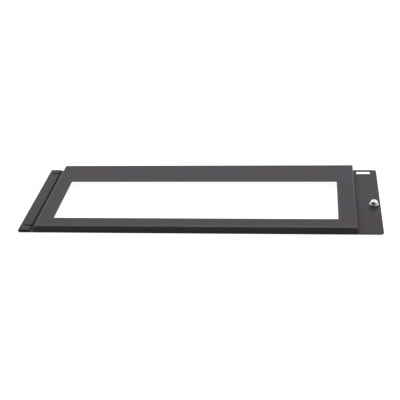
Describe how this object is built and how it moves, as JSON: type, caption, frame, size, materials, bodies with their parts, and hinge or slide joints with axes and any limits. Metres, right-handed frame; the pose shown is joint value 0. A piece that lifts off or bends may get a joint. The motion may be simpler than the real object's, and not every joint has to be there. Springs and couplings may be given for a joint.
{
  "type": "cabinet cover plate",
  "caption": "Folded steel cover plate for a rack cabinet, with a raised windowed face, a hemmed ear, a slotted ear and a sprung captive thumb screw.",
  "frame": {"origin": "middle of the underside, on the surface that the ears lie on", "axes": "+X along the width towards the ear with the captive screw, +Y along the height of the plate towards the end with the slot, +Z out of the raised face"},
  "size_m": [0.4826, 0.177, 0.01],
  "materials": {
    "powder_coat": "charcoal powder coat, fine texture, satin",
    "bright_plate": "bright nickel plate",
    "washer_steel": "zinc plated steel",
    "spring_steel": "drawn stainless wire"
  },
  "bodies": {
    "plate": {"cover_plate": "powder_coat", "screw_ferrule": "bright_plate"},
    "spring_seat": {"thrust_washer": "washer_steel", "screw_spring": "spring_steel"},
    "screw": {"captive_screw": "bright_plate"}
  },
  "joints": [
    {"name": "screw_travel", "type": "slide", "parent": "plate", "child": "spring_seat", "axis": [0, 0, -1], "range_m": [0, 0.0021], "stiffness_N_per_m": 400, "springref_m": -0.001, "deforming": ["screw_spring"]},
    {"name": "screw_turn", "type": "hinge", "parent": "spring_seat", "child": "screw", "pos_m": [0.2326, -0.0135, 0.004], "axis": [0, 0, 1], "continuous": true}
  ]
}
